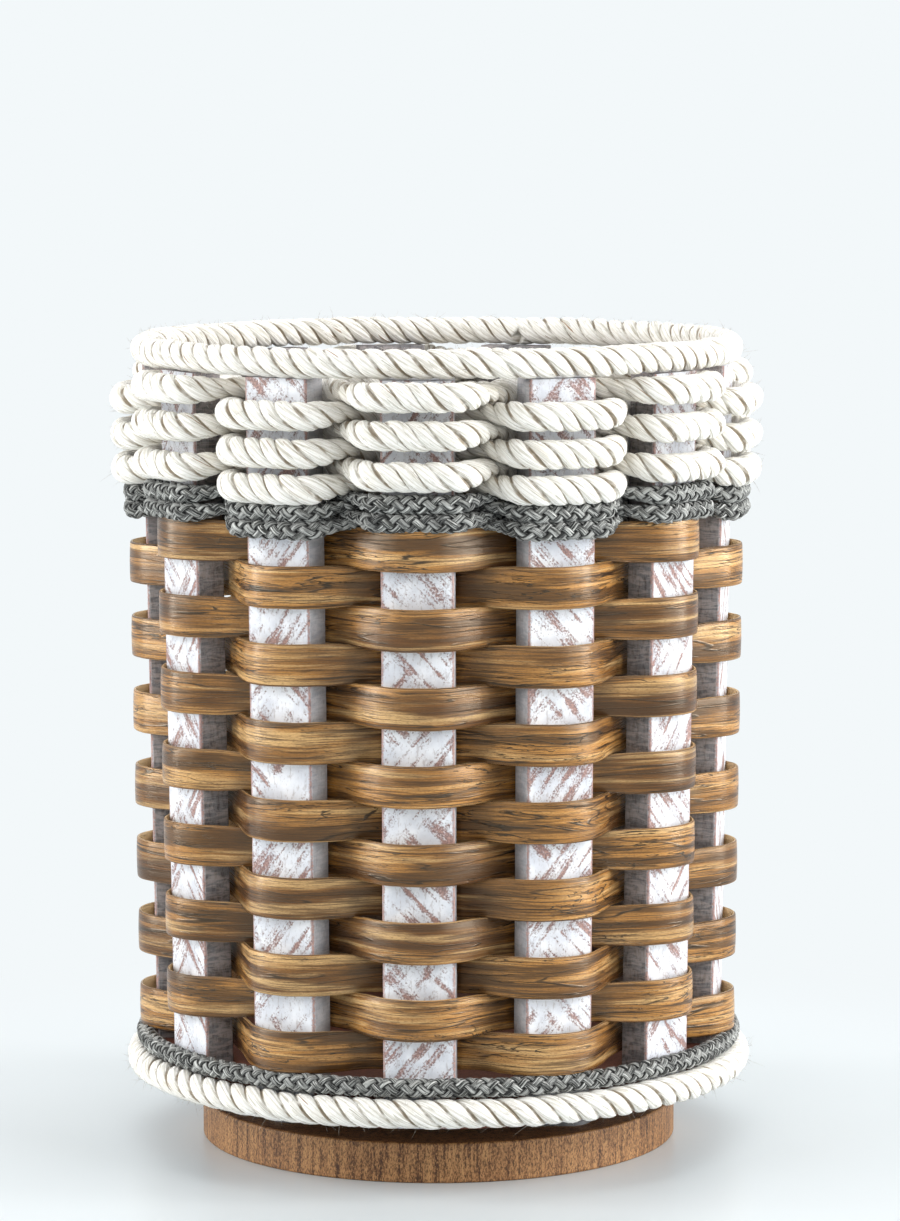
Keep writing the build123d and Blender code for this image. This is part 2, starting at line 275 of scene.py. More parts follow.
def unit(vectors):
    """Vectors scaled to length 1."""
    return vectors / np.maximum(np.linalg.norm(vectors, axis=-1, keepdims=True), 1e-12)


def axes_along(centre):
    """Forward, level-left and upward directions along a middle line, and the length so far."""
    ahead = unit(np.gradient(centre, axis=0))
    left = unit(np.stack([-ahead[:, 1], ahead[:, 0], np.zeros(len(ahead))], 1))
    up = np.cross(ahead, left)
    steps = np.linalg.norm(np.diff(centre, axis=0), axis=1)
    return ahead, left, up, np.concatenate([[0], np.cumsum(steps)])


def ring_grid(centre, outwards, thick, wide, sides, fullness=1.0):
    """Rings of points round a middle line; thick lies along outwards and wide across it.

    A fullness of 1 gives ellipses, and less gives squarer, plumper rings.
    """
    ahead = unit(np.gradient(centre, axis=0))
    outwards = unit(outwards - ahead * np.sum(outwards * ahead, 1, keepdims=True))
    across = np.cross(ahead, outwards)
    angles = 2 * math.pi * np.arange(sides) / sides
    out_shares = np.sign(np.cos(angles)) * np.abs(np.cos(angles)) ** fullness
    side_shares = np.sign(np.sin(angles)) * np.abs(np.sin(angles)) ** fullness
    return (centre[:, None] + outwards[:, None] * (thick[:, None] * out_shares)[..., None]
            + across[:, None] * (wide[:, None] * side_shares)[..., None])


def wander(length, period, strength):
    """A slow irregular drift along a strand."""
    total = np.zeros(len(length))
    for share in (1.0, 0.53, 0.29):
        total += share * np.sin(2 * math.pi * length / (period * share) + rng.uniform(0, 2 * math.pi))
    return strength * total


# Shader helpers
class Finish:
    """A material whose nodes are added one by one."""

    def __init__(self, name, roughness, specular):
        self.material = bpy.data.materials.new(name)
        self.material.use_nodes = True
        self.tree = self.material.node_tree
        self.shader = self.tree.nodes["Principled BSDF"]
        self.shader.inputs["Roughness"].default_value = roughness
        self.shader.inputs["Specular IOR Level"].default_value = specular

    def add(self, kind, inputs=None, **settings):
        """Add a node, set its options, and set or link its inputs by name or number."""
        node = self.tree.nodes.new("ShaderNode" + kind)
        for key, value in settings.items():
            setattr(node, key, value)
        for key, value in (inputs or {}).items():
            self.plug(node.inputs[key], value)
        return node

    def plug(self, socket, value):
        """Link a socket to another node's output, or set its value."""
        if isinstance(value, bpy.types.NodeSocket):
            self.tree.links.new(value, socket)
        else:
            socket.default_value = value

    def coordinates(self, kind):
        """Texture coordinates: UV (along and round a strand) or Object."""
        return self.add("TexCoord").outputs[kind]

    def parts(self, vector):
        """The three numbers of a vector."""
        return self.add("SeparateXYZ", {0: vector}).outputs

    def tucked(self):
        """How far a strand has gone in among its neighbours, from 0 to 1."""
        return self.add("Attribute", attribute_name="tucked").outputs["Fac"]

    def math(self, operation, a, b=0.0):
        return self.add("Math", {0: a, 1: b}, operation=operation).outputs[0]

    def times(self, a, b):
        return self.math("MULTIPLY", a, b)

    def off_middle(self, value):
        """How far a value lies from one half."""
        return self.math("ABSOLUTE", self.math("SUBTRACT", value, 0.5))

    def edge_share(self, around):
        """How far a point lies round a strand from its outermost line: 0 there, 0.5 at its innermost."""
        return self.math("MINIMUM", around, self.math("SUBTRACT", 1.0, around))

    def ramp(self, value, low, high):
        """0 at low and beyond, 1 at high and beyond, eased between; low may be the larger."""
        node = self.add("MapRange", {0: value, 1: low, 2: high}, interpolation_type="SMOOTHSTEP")
        return node.outputs[0]

    def remap(self, value, low, high, at_low, at_high):
        """A straight run from at_low, where the value is low, to at_high, where it is high."""
        return self.add("MapRange", {0: value, 1: low, 2: high, 3: at_low, 4: at_high}).outputs[0]

    def mix(self, share, a, b):
        """Colour a where the share is 0 and colour b where it is 1."""
        node = self.add("Mix", data_type="RGBA")
        self.plug(node.inputs[0], share)
        self.plug(node.inputs[6], a)
        self.plug(node.inputs[7], b)
        return node.outputs[2]

    def tint(self, base, colour, share, strength):
        """The base turned towards a colour by a share times a strength."""
        return self.mix(self.times(share, strength), base, colour)

    def place(self, source, scale, rotation=(0, 0, 0), offset=(0, 0, 0)):
        """Coordinates moved, turned and scaled."""
        return self.add("Mapping", {0: source, 1: offset, 2: rotation, 3: scale}).outputs[0]

    def noise(self, vector, scale, detail=4.0, rough=0.55, distortion=0.0, **placing):
        """Noise at one scale, or stretched by a scale for each axis, which may be turned or moved too."""
        if isinstance(scale, tuple):
            vector = self.place(vector, scale, **placing)
            scale = 1.0
        node = self.add("TexNoise", {"Vector": vector, "Scale": scale, "Detail": detail,
                                     "Roughness": rough, "Distortion": distortion})
        return node.outputs[0]

    def colour(self, value):
        self.plug(self.shader.inputs["Base Color"], value)

    def roughness(self, value):
        self.plug(self.shader.inputs["Roughness"], value)

    def bump(self, height, distance, strength):
        node = self.add("Bump", {"Height": height, "Distance": distance, "Strength": strength})
        self.plug(self.shader.inputs["Normal"], node.outputs[0])


def rgb(red, green, blue):
    """A colour written as screen values from 0 to 255."""
    linear = []
    for value in (red, green, blue):
        share = value / 255
        linear.append(share / 12.92 if share <= 0.04045 else ((share + 0.055) / 1.055) ** 2.4)
    return (*linear, 1.0)


def rope_finish():
    """Cream cotton: yarns twisted back along each strand and a few tan specks, with painted shade in the
    creases, the yarn hollows and where strands go in among others.
    """
    yarn_lay = 26 * mm
    yarn_count = 11
    finish = Finish("cream_rope", roughness=0.95, specular=0.15)
    finish.shader.inputs["Sheen Weight"].default_value = 0.15
    finish.shader.inputs["Sheen Roughness"].default_value = 0.6
    along, around, _ = finish.parts(finish.coordinates("UV"))
    twist = finish.math("ADD", finish.times(along, 1 / yarn_lay), around)
    yarn = finish.math("SINE", finish.times(twist, 2 * math.pi * yarn_count))
    lines = finish.add("CombineXYZ", {0: finish.times(along, 90.0), 1: finish.times(twist, 20.0)}).outputs[0]
    fibre = finish.noise(lines, 1.0, detail=6.0, rough=0.7, distortion=0.8)
    broad = finish.noise(finish.coordinates("Object"), 140.0, detail=3.0)
    # Painted shade: the creases between the strands are painted a dark brown-beige, more where the broad
    # noise is high.
    painted_crease_shade = finish.ramp(finish.edge_share(around), 0.145, 0.175)
    speck = finish.ramp(finish.noise(lines, 0.6, detail=2.0), 0.66, 0.74)
    cotton = finish.mix(finish.ramp(fibre, 0.3, 0.54), rgb(178, 172, 155), rgb(251, 249, 243))
    cotton = finish.tint(cotton, rgb(226, 219, 204), finish.ramp(broad, 0.48, 0.72), 0.4)
    # Painted shade in the hollows between the yarns, where the bump below sinks.
    cotton = finish.tint(cotton, rgb(198, 190, 173), finish.ramp(yarn, -0.35, -1.0), 0.42)
    cotton = finish.tint(cotton, rgb(150, 136, 116), painted_crease_shade, finish.ramp(broad, 0.3, 0.6))
    cotton = finish.mix(speck, cotton, rgb(160, 132, 104))
    # Painted shade where a strand goes in among its neighbours.
    finish.colour(finish.tint(cotton, rgb(170, 160, 139), finish.tucked(), 0.4))
    height = finish.math("ADD", finish.times(yarn, 0.4), finish.times(fibre, 1.5))
    finish.bump(height, 0.2 * mm, 0.9)
    return finish.material


def cord_finish():
    """Heathered grey braid: pale and dark fibres run along every strand, with painted glints on them and
    painted shade between the strands.
    """
    finish = Finish("grey_cord", roughness=0.85, specular=0.25)
    finish.shader.inputs["Sheen Weight"].default_value = 0.1
    uv = finish.coordinates("UV")
    _, around, _ = finish.parts(uv)
    lines = finish.place(uv, (110.0, 6.5, 1.0))
    fibre = finish.noise(lines, 1.0, detail=5.0, rough=0.75, distortion=0.4)
    patch = finish.noise(uv, (120.0, 1.5, 1.0), detail=3.0)
    # Painted highlights: pale glints along the fibres.
    painted_glint = finish.noise(lines, 1.6, detail=3.0, rough=0.8)
    # Painted shade between the braid's strands, nearly black.
    painted_crease_shade = finish.ramp(finish.edge_share(around), 0.1, 0.22)
    grey = finish.mix(finish.ramp(fibre, 0.42, 0.6), rgb(30, 31, 31), rgb(168, 169, 165))
    grey = finish.tint(grey, rgb(92, 92, 86), finish.ramp(patch, 0.45, 0.7), 0.4)
    grey = finish.tint(grey, rgb(224, 225, 220), finish.ramp(painted_glint, 0.54, 0.63), 0.75)
    finish.colour(finish.tint(grey, rgb(26, 26, 26), painted_crease_shade, 0.92))
    finish.bump(fibre, 0.2 * mm, 1.0)
    return finish.material


def reed_finish():
    """Walnut-stained flat reed: long wavy grain, thin dark cracks and pale edges, with a satin sheen and
    painted shade where it goes in among its neighbours.
    """
    finish = Finish("reed", roughness=0.3, specular=0.72)
    finish.shader.inputs["Specular Tint"].default_value = rgb(255, 236, 208)
    uv = finish.coordinates("UV")
    _, around, _ = finish.parts(uv)
    across = finish.math("ABSOLUTE", finish.math("SUBTRACT", finish.times(around, 4.0), 1.0))
    grain = finish.noise(uv, (11.0, 13.0, 1.0), detail=6.0, rough=0.6, distortion=0.35)
    fine = finish.noise(uv, (40.0, 120.0, 1.0), rough=0.7, distortion=0.3)
    broad = finish.noise(uv, (15.0, 3.0, 1.0), detail=2.0)
    pores = finish.noise(uv, (900.0, 330.0, 1.0), detail=2.0, rough=0.7)

    # Veins follow the year rings, as lines of equal height in a smooth noise
    ring_count = 9.0
    rings = finish.noise(uv, (7.0, 7.0, 1.0), detail=3.0, rough=0.5, distortion=0.4, offset=(3.1, 1.7, 0))
    vein = finish.off_middle(finish.math("FRACT", finish.times(rings, ring_count)))
    vein = finish.times(finish.ramp(vein, 0.42, 0.48), finish.ramp(grain, 0.4, 0.52))

    # Cracks run where a twisted noise passes one half
    streak = finish.noise(uv, (13.0, 10.0, 1.0), rough=0.6, distortion=1.6, offset=(7.1, 4.7, 0))
    crack = finish.ramp(finish.off_middle(streak), 0.004, 0.014)
    crack = finish.times(finish.math("SUBTRACT", 1.0, crack), finish.ramp(broad, 0.45, 0.55))

    wood = finish.mix(finish.ramp(broad, 0.36, 0.6), rgb(92, 55, 20), rgb(178, 125, 63))
    wood = finish.tint(wood, rgb(232, 192, 132), finish.ramp(grain, 0.5, 0.36), 0.6)
    wood = finish.tint(wood, rgb(60, 35, 14), finish.ramp(grain, 0.5, 0.58), 0.82)
    wood = finish.tint(wood, rgb(30, 17, 8), vein, 0.95)
    wood = finish.tint(wood, rgb(54, 31, 12), finish.ramp(fine, 0.5, 0.57), 0.7)
    wood = finish.tint(wood, rgb(56, 35, 17), finish.ramp(pores, 0.52, 0.62), 0.45)
    wood = finish.tint(wood, rgb(20, 12, 7), crack, 0.95)
    wood = finish.tint(wood, rgb(234, 200, 150), finish.ramp(across, 0.9, 0.96), 0.85)
    # Painted shade where the reed goes in among its neighbours.
    finish.colour(finish.tint(wood, rgb(46, 28, 13), finish.ramp(finish.tucked(), 0.72, 1.0), 0.45))
    hollows = finish.math("ADD", crack, vein)
    finish.bump(finish.math("SUBTRACT", finish.times(fine, 0.7), hollows), 0.12 * mm, 0.8)
    finish.roughness(finish.remap(fine, 0.3, 0.7, 0.22, 0.36))
    return finish.material


def saw_marks(finish, place, slope, shift):
    """Long uneven scratches across a slat's face at a slope from level, up to 1 along each one."""
    turned = finish.place(place, (1, 1, 1), rotation=(0, slope, 0), offset=(shift, 0, 0))
    thick = finish.noise(turned, (38, 38, 330), detail=2.0, rough=0.5, distortion=0.3)
    thin = finish.noise(turned, (70, 70, 900), detail=3.0, rough=0.6, distortion=0.3)
    return finish.math("ADD", finish.times(thick, 0.65), finish.times(thin, 0.35))


def whitewash_finish():
    """Worn white paint over red-brown wood, with slanting saw marks and bare edges, in slat coordinates.

    The object's colour says how dark its sides are.
    """
    finish = Finish("whitewash", roughness=0.7, specular=0.3)
    local = finish.coordinates("Object")
    sideways, outwards, _ = finish.parts(local)
    about = finish.add("ObjectInfo")
    side_darkness = finish.add("SeparateColor", {0: about.outputs["Color"]}).outputs[0]

    # Each slat takes another place in the noise
    chance = about.outputs["Random"]
    shift = finish.add("CombineXYZ", {0: finish.times(chance, 3.0), 2: finish.times(chance, 7.0)}).outputs[0]
    place = finish.add("VectorMath", {0: local, 1: shift}, operation="ADD").outputs[0]
    patch = finish.noise(place, 24.0, detail=1.0)
    grit = finish.noise(place, 1500.0, detail=3.0, rough=0.7)
    wear = finish.noise(place, 150.0, rough=0.65)
    cloud = finish.noise(place, 110.0)
    flecks = finish.noise(place, (900, 900, 300), detail=3.0, rough=0.7)
    ripple = finish.noise(place, (90, 130, 700), rough=0.65, distortion=1.1,
                          rotation=(math.radians(16), 0, 0))

    # Where the paint is gone: along the saw marks on the face, and at the face's edges
    falling = saw_marks(finish, place, math.radians(46), 0.0)
    rising = saw_marks(finish, place, math.radians(-52), 2.0)
    marks = finish.mix(finish.ramp(patch, 0.45, 0.55), rising, falling)
    ragged = finish.math("SUBTRACT", finish.math("ADD", finish.times(grit, 1.1), wear), 1.05)
    worn = finish.math("ADD", marks, finish.times(ragged, 0.4))
    behind = finish.times(outwards, -1.0)
    side = finish.ramp(behind, 0.4 * mm, 1.0 * mm)
    face_bare = finish.times(finish.ramp(worn, 0.5, 0.6), finish.math("SUBTRACT", 1.0, side))
    inset = finish.math("SUBTRACT", stake_width / 2, finish.math("ABSOLUTE", sideways))
    edge = finish.math("ADD", finish.math("MAXIMUM", inset, behind), finish.times(ragged, 1.6 * mm))
    edge_bare = finish.ramp(edge, 0.9 * mm, 0.3 * mm)
    bare = finish.math("MAXIMUM", finish.times(face_bare, 0.8), finish.times(edge_bare, 0.75))

    wood = finish.mix(finish.ramp(grit, 0.35, 0.65), rgb(172, 114, 90), rgb(88, 47, 35))
    paint = finish.mix(finish.ramp(cloud, 0.3, 0.7), rgb(202, 205, 212), rgb(233, 235, 239))
    paint = finish.tint(paint, rgb(150, 138, 134), finish.ramp(flecks, 0.54, 0.64), 0.4)
    # The object's colour turns the slat's sides towards a darker, grained grey-brown.
    rough_side = finish.mix(finish.ramp(ripple, 0.4, 0.6), rgb(48, 37, 32), rgb(130, 116, 108))
    dark_side_share = finish.times(finish.times(side, side_darkness), finish.remap(flecks, 0.35, 0.6, 1.0, 0.8))
    paint = finish.mix(dark_side_share, paint, rough_side)
    finish.colour(finish.mix(bare, paint, wood))
    finish.bump(finish.times(bare, -1.0), 0.15 * mm, 0.7)
    return finish.material


def turned_wood_finish(name, dark, middle, pale):
    """Red-brown hardwood: short upright flecks round the edge and straight grain on the flat faces."""
    finish = Finish(name, roughness=0.5, specular=0.35)
    local = finish.coordinates("Object")
    fleck = finish.noise(local, (2500, 2500, 1000), detail=3.0, rough=0.7)
    streak = finish.noise(local, (620, 620, 40), detail=5.0, rough=0.7)
    grain = finish.noise(local, (9, 190, 40), rough=0.6, distortion=0.5)
    wood = finish.mix(finish.ramp(streak, 0.32, 0.68), middle, pale)
    wood = finish.tint(wood, middle, finish.ramp(grain, 0.45, 0.7), 0.5)
    wood = finish.tint(wood, dark, finish.ramp(streak, 0.5, 0.36), 0.6)
    wood = finish.tint(wood, pale, finish.ramp(fleck, 0.47, 0.38), 0.7)
    finish.colour(finish.tint(wood, dark, finish.ramp(fleck, 0.5, 0.58), 0.7))
    finish.bump(fleck, 0.14 * mm, 0.8)
    return finish.material


def steel_finish():
    """Zinc-plated pressed steel with fine handling marks, painted a darker grey than zinc as shade for its
    gap.
    """
    finish = Finish("zinc_steel", roughness=0.35, specular=0.5)
    finish.shader.inputs["Metallic"].default_value = 1.0
    local = finish.coordinates("Object")
    marks = finish.noise(local, (80, 900, 900), rough=0.6)
    spangle = finish.noise(local, 260.0, detail=3.0)
    # Painted shade: the greys are far darker than bright zinc, so the plates stay dark in the gap under the
    # basket.
    finish.colour(finish.mix(finish.ramp(spangle, 0.3, 0.7), rgb(112, 113, 114), rgb(146, 147, 146)))
    finish.roughness(finish.remap(marks, 0.3, 0.7, 0.42, 0.6))
    finish.bump(marks, 0.02 * mm, 0.4)
    return finish.material


# Woven and laid strands
def add_strands(name, grids, alongs, material, replaced, squeeze, strands_each):
    """Make one piece of every few strands, so that no mesh grows too large.

    The first piece replaces the CAD node.
    """
    for first in range(0, len(grids), strands_each):
        last = first + strands_each
        part_name = name if strands_each == len(grids) else f"{name}_{first // strands_each + 1}"
        grid_mesh(part_name, grids[first:last], alongs[first:last], material, "basket",
                  replaced if first == 0 else None, squeeze)


def strand_outwards(left, up, turn, wide, high):
    """Direction from the middle line to a strand that has turned round it, flattened by wide and high."""
    return left * (wide * np.cos(turn))[:, None] + up * (high * np.sin(turn))[:, None]


def twisted_rope(name, centre, squeeze, lay, material, replaced, strands_each=3):
    """Three-strand rope, one turn of a strand to each lay, flattened where it is squeezed."""
    strand_offset = 0.262 * rope_diameter
    strand_radius = 0.25 * rope_diameter
    unevenness = 0.012 * rope_diameter
    breadth, fullness, sides = 1.12, 0.85, 14
    grain_shift = 0.37
    _, left, up, length = axes_along(centre)
    wide = 1 + 0.06 * squeeze
    high = 1 - rope_flattening * squeeze
    grids, alongs = [], []
    drift = wander(length, period=90 * mm, strength=0.10)
    for strand in range(3):
        turn = 2 * math.pi * (length / lay + strand / 3) + drift
        outwards = strand_outwards(left, up, turn, wide, high)
        middle = centre + outwards * strand_offset
        middle += left * wander(length, period=27 * mm, strength=unevenness)[:, None]
        middle += up * wander(length, period=23 * mm, strength=unevenness)[:, None]
        plump = 1 + wander(length, period=31 * mm, strength=0.025)
        radius = strand_radius * plump * (1 - 0.22 * squeeze)
        grids.append(ring_grid(middle, outwards, radius, radius * breadth, sides, fullness))
        alongs.append(length + strand * grain_shift)
    add_strands(name, grids, alongs, material, replaced, squeeze, strands_each)


def rope_fuzz(name, centre, squeeze, material, count):
    """Loose fibres that stand off a cotton rope: closed three-sided spikes that curl and thin to a point."""
    root_offset = 0.45 * rope_diameter
    shortest, longest = 0.4 * mm, 5 * mm
    ring_shares = (0.0, 0.45, 0.8)
    thinning = 0.6
    ahead, left, up, _ = axes_along(centre)
    picks = rng.randint(4, len(centre) - 4, count)
    angles = rng.uniform(0, 2 * math.pi, count)
    high = 1 - rope_flattening * squeeze[picks]
    outwards = strand_outwards(left[picks], up[picks], angles, 1.0, high)
    root = centre[picks] + outwards * root_offset
    lengths = rng.gamma(2.0, 0.7 * mm, count).clip(shortest, longest)[:, None]
    forward = ahead[picks] * rng.normal(0, 1, (count, 1))
    drift = unit(forward + outwards * 0.6 + rng.normal(0, 0.5, (count, 3)))
    curl = rng.normal(0, 0.35, (count, 3))
    side = unit(np.cross(drift, rng.normal(0, 1, (count, 3))))
    other = np.cross(drift, side)
    points = []
    for share in ring_shares:
        middle = root + (drift * share + curl * share * share) * lengths
        radius = fibre_radius * (1 - thinning * share)
        for turn in np.radians((0, 120, 240)):
            points.append(middle + (side * math.cos(turn) + other * math.sin(turn)) * radius)
    points.append(root + (drift + curl) * lengths)

    # Corners of a spike: 0 to 2 at its root, 3 to 5 and 6 to 8 further out, and 9 at its tip
    verts = np.stack(points, 1).reshape(-1, 3)
    first = np.arange(count)[:, None] * len(points)
    quads, thirds = [], [first + np.array([[2, 1, 0]])]
    for corner in range(3):
        following = (corner + 1) % 3
        for ring in (0, 3):
            quads.append(first + ring + np.array([[corner, following, following + 3, corner + 3]]))
        thirds.append(first + np.array([[6 + corner, 6 + following, 9]]))
    faces = np.concatenate(quads).tolist() + np.concatenate(thirds).tolist()
    mesh = bpy.data.meshes.new(name)
    mesh.from_pydata(verts.tolist(), [], faces)
    mesh.uv_layers.new(name="along")
    add_piece(name, mesh, material, "basket")


def braided_cord(name, centre, squeeze, material, replaced, strands_each=8):
    """Round braid of eight strands, four each way, each over one and under one."""
    strand_offset, strand_weave = 0.345, 0.075
    strand_thick, strand_wide = 0.11 * cord_diameter, 0.205 * cord_diameter
    sides = 8
    grain_shift, way_shift = 0.21, 0.5
    _, left, up, length = axes_along(centre)
    wide = 1 + 0.04 * squeeze
    high = 1 - cord_flattening * squeeze
    grids, alongs = [], []
    for way in (1, -1):
        over_under = way * strand_weave * np.cos(8 * math.pi * length / cord_lay)
        rise = cord_diameter * (strand_offset + over_under)
        for strand in range(4):
            turn = way * 2 * math.pi * length / cord_lay + 2 * math.pi * strand / 4
            outwards = strand_outwards(left, up, turn, wide, high)
            middle = centre + outwards * rise[:, None]
            plump = 1 - 0.2 * squeeze + wander(length, period=17 * mm, strength=0.02)
            grids.append(ring_grid(middle, outwards, strand_thick * plump, strand_wide * plump, sides))
            alongs.append(length + strand * grain_shift + way * way_shift)
    add_strands(name, grids, alongs, material, replaced, squeeze, strands_each)


def reed_band(row, material):
    """One flat-oval reed: bowed over the slats, a little taller there than where rows cross."""
    node = f"reed_row_{row + 1:02d}"
    low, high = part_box(node)
    middle = (low[2] + high[2]) / 2
    half_height = (high[2] - low[2]) / 2
    half_slat = stake_width / 2
    first_side = 1 if row % 2 == 0 else -1
    bow_radius = math.hypot(half_slat, reed_bow_depth) + strand_clearance + reed_thickness / 2
    passes = [middle] * (stake_count + 1)
    circles = bend_circles(passes, 0, first_side, half_slat, reed_bow_depth, bow_radius)
    plan, crossing, _ = trace(circles, True, reed_step)
    plan = smooth(plan, 2)
    crossing = smooth(crossing, 4)
    centre = np.concatenate([plan, np.full((len(plan), 1), middle)], 1)
    _, left, _, length = axes_along(centre)

    # Height along the reed, and its slow sway and lean
    over_slat, crossing_loss = 1.10, 0.09
    tall = half_height * (over_slat - crossing_loss * crossing ** 3)
    sway = wander(length, period=150 * mm, strength=0.10 * mm)
    lean = wander(length, period=110 * mm, strength=0.010) * (1 - crossing)

    # Section: up the outer face and down the inner one, each a shallow belly with soft edges
    outer_belly, inner_belly = 0.55 * reed_thickness, 0.4 * reed_thickness
    face_shares = np.array((-1, -0.99, -0.965, -0.9, -0.5, 0, 0.5, 0.9, 0.965, 0.99, 1))
    inner_shares = face_shares[-2:0:-1]
    shares = np.concatenate([face_shares, inner_shares])
    rounding = np.maximum(1 - np.abs(shares) ** 30, 0.0) ** 0.5 * (1 - 0.25 * shares ** 2)
    bellies = np.repeat((outer_belly, -inner_belly), (len(face_shares), len(inner_shares))) * rounding
    upper_edge = wander(length, period=23 * mm, strength=0.035 * mm)[:, None] * (shares > 0)
    lower_edge = wander(length, period=19 * mm, strength=0.035 * mm)[:, None] * (shares < 0)
    rise = tall[:, None] * shares + sway[:, None] + upper_edge + lower_edge
    out = bellies[None] + lean[:, None] * rise
    grid = centre[:, None] - left[:, None] * out[..., None] + np.array((0, 0, 1.0)) * rise[..., None]
    grain_shift = 0.83
    grid_mesh(f"reed_band_{row + 1:02d}", [grid], [length + row * grain_shift], material, "basket",
              [node], crossing)


def slat(index, material):
    """A wooden slat with softened, slightly uneven edges, made in its own coordinates and then stood up."""
    edge = 0.55 * mm
    unevenness = 0.0022
    ring_count = 46
    half, back = stake_width / 2, -stake_thickness
    corners = ((half - edge, -edge, 0), (-half + edge, -edge, 90),
               (-half + edge, back + edge, 180), (half - edge, back + edge, 270))
    outline = []
    for x, y, start in corners:
        for angle in np.radians(start + np.array((0, 30, 60, 90))):
            outline.append((x + edge * math.cos(angle), y + edge * math.sin(angle)))
    outline = np.array(outline)
    heights = np.linspace(0, (stake_top - board_bottom) / math.cos(stake_lean), ring_count)
    grid = np.zeros((ring_count, len(outline), 3))
    for ring, height in enumerate(heights):
        grid[ring, :, :2] = outline * (1 + rng.normal(0, unevenness, outline.shape))
        grid[ring, :, 2] = height
    piece = grid_mesh(f"slat_{index + 1:02d}", [grid], [heights], material, "basket",
                      [f"stake_{index + 1:02d}"])

    # The front three slats get lighter sides, the other slats darker ones
    slats_from_front = min(index, stake_count - index)
    side_darkness = 0.55 if slats_from_front <= 1 else 0.9
    piece.color = (side_darkness, 0, 0, 1)

    bearing = stake_bearing(index)
    outwards = Vector((math.cos(bearing), math.sin(bearing), 0))
    along = outwards * math.sin(stake_lean) + Vector((0, 0, math.cos(stake_lean)))
    across = Vector((math.sin(bearing), -math.cos(bearing), 0))
    depth = along.cross(across)
    foot = outwards * stake_foot_radius + Vector((0, 0, board_bottom))
    piece.matrix_world = Matrix((
        (across.x, depth.x, along.x, foot.x), (across.y, depth.y, along.y, foot.y),
        (across.z, depth.z, along.z, foot.z), (0, 0, 0, 1)))


# Studio: pale floor that fades to white, soft lights, camera as in the photo
backdrop_white = rgb(243, 248, 250)


def background_rays(tree):
    """1 for the rays that show the white background: straight to the camera, mirrored or through glass."""
    path = tree.nodes.new("ShaderNodeLightPath")
    total = path.outputs["Is Camera Ray"]
    for kind in ("Is Glossy Ray", "Is Transmission Ray"):
        either = tree.nodes.new("ShaderNodeMath")
        either.operation = "MAXIMUM"
        tree.links.new(total, either.inputs[0])
        tree.links.new(path.outputs[kind], either.inputs[1])
        total = either.outputs[0]
    return total


def studio_floor():
    """A pale table top; away from the object it fades to the backdrop's plain white."""
    fade_start, fade_end = 0.1, 0.3
    left, right, front, back = -4, 4, -3, 5
    finish = Finish("studio_floor", roughness=0.3, specular=0.3)
    local = finish.coordinates("Object")
    cloud = finish.noise(local, 6.0, detail=2.0)
    finish.colour(finish.mix(cloud, rgb(207, 214, 216), rgb(217, 223, 225)))
    away = finish.add("VectorMath", {0: local}, operation="LENGTH").outputs["Value"]
    fade = finish.times(finish.ramp(away, fade_start, fade_end), background_rays(finish.tree))
    white = finish.add("Emission", {"Color": backdrop_white, "Strength": 1.0})
    blend = finish.add("MixShader", {0: fade, 1: finish.shader.outputs[0], 2: white.outputs[0]})
    finish.plug(finish.tree.nodes["Material Output"].inputs[0], blend.outputs[0])
    corners = [(left, front, 0), (right, front, 0), (right, back, 0), (left, back, 0)]
    mesh = bpy.data.meshes.new("studio_floor")
    mesh.from_pydata(corners, [], [(0, 1, 2, 3)])
    mesh.materials.append(finish.material)
    floor = bpy.data.objects.new("studio_floor", mesh)
    bpy.context.collection.objects.link(floor)


def studio_world():
    """Dim even surroundings for the light, plain white where the background shows past the floor."""
    world = bpy.data.worlds.new("studio")
    world.use_nodes = True
    tree = world.node_tree
    around = tree.nodes["Background"]
    around.inputs["Color"].default_value = (0.93, 0.96, 1.0, 1.0)
    around.inputs["Strength"].default_value = 0.35
    white = tree.nodes.new("ShaderNodeBackground")
    white.inputs["Color"].default_value = backdrop_white
    blend = tree.nodes.new("ShaderNodeMixShader")
    tree.links.new(background_rays(tree), blend.inputs[0])
    tree.links.new(around.outputs[0], blend.inputs[1])
    tree.links.new(white.outputs[0], blend.inputs[2])
    tree.links.new(blend.outputs[0], tree.nodes["World Output"].inputs[0])
    bpy.context.scene.world = world


def area_light(name, place, target, size, power):
    """A rectangular lamp, size in metres and power in watts, that faces its target."""
    light = bpy.data.lights.new(name, "AREA")
    light.shape = "RECTANGLE"
    light.size, light.size_y = size
    light.energy = power
    lamp = bpy.data.objects.new(name, light)
    lamp.location = place
    lamp.rotation_euler = (Vector(target) - Vector(place)).to_track_quat("-Z", "Y").to_euler()
    bpy.context.collection.objects.link(lamp)


